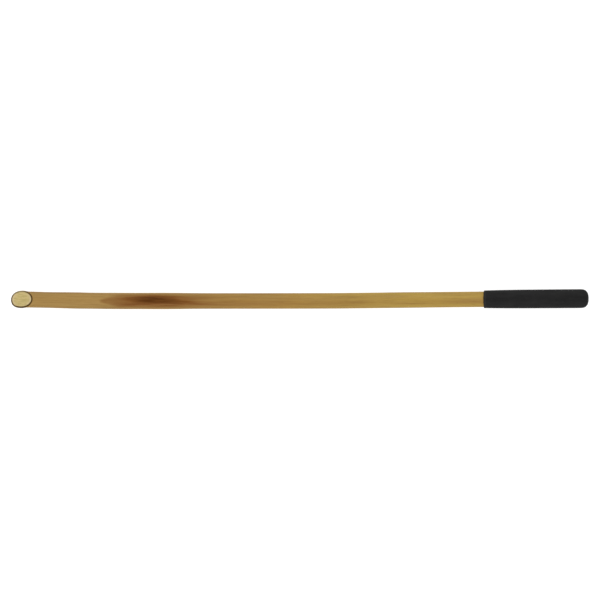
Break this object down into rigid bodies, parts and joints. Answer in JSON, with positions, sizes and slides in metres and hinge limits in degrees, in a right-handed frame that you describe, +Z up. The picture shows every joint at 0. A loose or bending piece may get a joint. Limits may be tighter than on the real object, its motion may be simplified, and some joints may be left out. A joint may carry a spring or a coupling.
{
  "type": "rhythmic gymnastics wand",
  "caption": "Slim, slightly bowed wooden hand wand with a slanted cut tip and a soft sleeve grip with a closed domed end.",
  "frame": {"origin": "centre of the wand's box, on the plane that the wand lies on", "axes": "+X along the wand from the slanted tip to the grip, +Z up, with the slanted face looking up"},
  "size_m": [0.55, 0.0182, 0.0178],
  "materials": {
    "wood": "golden brown stick with fine lengthwise grain, a flame mark a quarter of the way along, a darkened rim round the pale slanted face, and a thin satin varnish",
    "grip_rubber": "soft black rubber, matte and lightly grained",
    "grip_tape": "thin cream double-sided cloth tape, hidden under the grip"
  },
  "bodies": {
    "root": {"shaft": "wood", "grip": "grip_rubber", "grip_tape": "grip_tape"}
  },
  "joints": []
}
